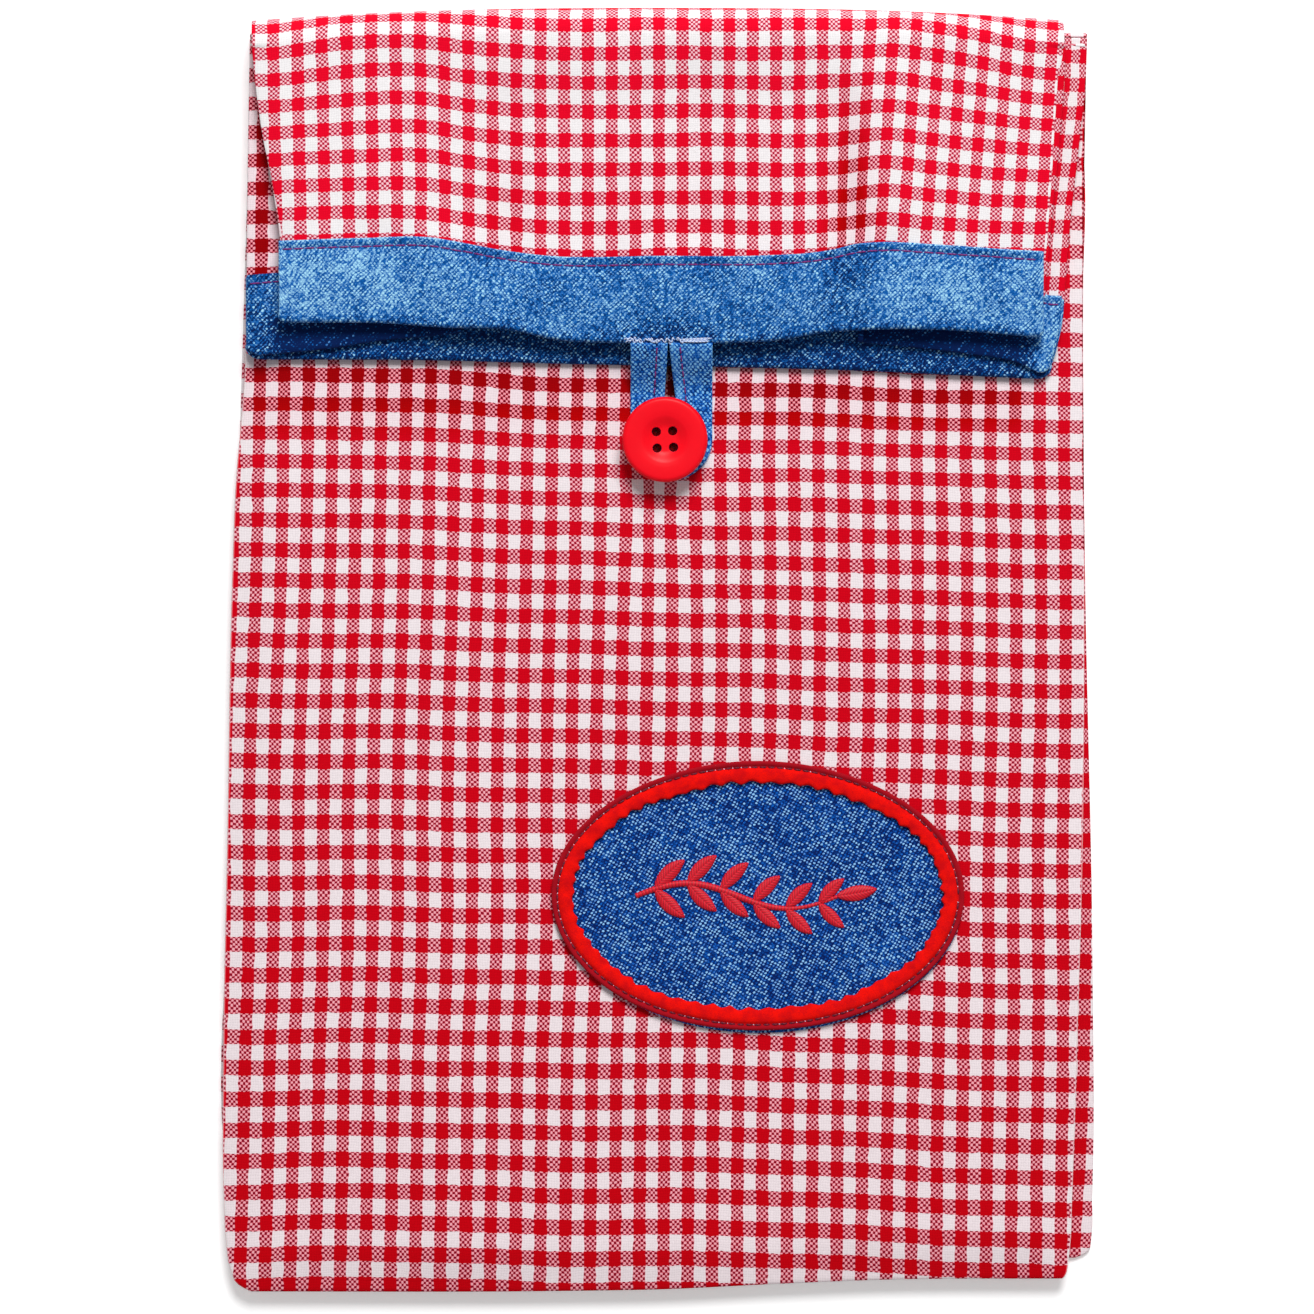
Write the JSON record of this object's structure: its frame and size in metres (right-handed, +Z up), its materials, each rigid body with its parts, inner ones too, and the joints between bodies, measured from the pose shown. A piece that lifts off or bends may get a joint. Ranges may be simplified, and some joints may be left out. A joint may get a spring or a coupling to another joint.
{
  "type": "lunch bag",
  "caption": "Gusseted gingham cloth lunch bag lying flat, its denim-bound mouth folded over the front and held by a denim loop on a large button.",
  "frame": {"origin": "centre of the bounding box in X and Y, on the plane that the bag lies on", "axes": "+X across the bag to the right as seen from above, +Y up the bag towards the fold, +Z up through the layers, towards the viewer"},
  "size_m": [0.2208, 0.3258, 0.0161],
  "materials": {
    "gingham_cotton": "yarn-dyed red and white gingham, plain weave, eighth-inch checks",
    "denim_cotton": "washed blue denim, twill weave",
    "red_plastic": "moulded polyester, satin gloss",
    "red_felt": "pressed felt",
    "red_thread": "spun polyester sewing and embroidery thread",
    "pale_thread": "frayed white warp threads of the denim's edge"
  },
  "bodies": {
    "bag_body": {"back_panel": "gingham_cotton", "front_panel_upper": "gingham_cotton", "gusset_left": "gingham_cotton", "gusset_right": "gingham_cotton", "base_panel": "gingham_cotton", "fold_back_wall": "gingham_cotton", "fold_front_wall": "gingham_cotton", "fold_gusset_left": "gingham_cotton", "fold_gusset_right": "gingham_cotton"},
    "front_belly": {"front_panel_lower": "gingham_cotton", "patch_base": "denim_cotton", "patch_ring": "red_felt", "patch_stitching": "red_thread", "patch_sprig": "red_thread"},
    "flap_back": {"flap_back_wall": "gingham_cotton", "band_back": "denim_cotton", "band_back_topstitch": "red_thread", "loop_bartack": "pale_thread", "flap_gusset_left": "gingham_cotton", "flap_gusset_right": "gingham_cotton", "band_gusset_left": "denim_cotton", "band_gusset_right": "denim_cotton"},
    "flap_front": {"flap_front_wall": "gingham_cotton", "band_front": "denim_cotton", "band_front_topstitch": "red_thread"},
    "loop": {"button_loop": "denim_cotton", "loop_topstitch": "red_thread"},
    "button_head": {"button": "red_plastic", "button_thread": "red_thread"}
  },
  "joints": [
    {"name": "flap_fold", "type": "hinge", "parent": "bag_body", "child": "flap_back", "pos_m": [0, 0.15545, 0.00745], "axis": [-1, 0, 0], "range_deg": [0, 176], "deforming": ["fold_back_wall", "fold_front_wall", "fold_gusset_left", "fold_gusset_right"]},
    {"name": "mouth_gape", "type": "hinge", "parent": "flap_back", "child": "flap_front", "pos_m": [0, 0.15545, 0.00745], "axis": [-1, 0, 0], "range_deg": [-30, 0], "deforming": ["flap_gusset_left", "flap_gusset_right", "band_gusset_left", "band_gusset_right"]},
    {"name": "loop_lift", "type": "hinge", "parent": "flap_back", "child": "loop", "pos_m": [0.00305, 0.07695, 0.01465], "axis": [1, 0, 0], "range_deg": [-110, 0], "deforming": ["button_loop", "loop_topstitch"]},
    {"name": "belly_open", "type": "hinge", "parent": "bag_body", "child": "front_belly", "pos_m": [0, 0.03655, 0.00665], "axis": [-1, 0, 0], "range_deg": [0, 18], "deforming": ["gusset_left", "gusset_right", "base_panel"]},
    {"name": "button_tilt", "type": "hinge", "parent": "bag_body", "child": "button_head", "pos_m": [0.001, 0.05305, 0.0088], "axis": [1, 0, 0], "range_deg": [-12, 12], "stiffness_Nm_per_rad": 0.002}
  ],
  "couplings": [
    {"joint": "mouth_gape", "follows": "flap_fold", "ratio": -0.16}
  ]
}
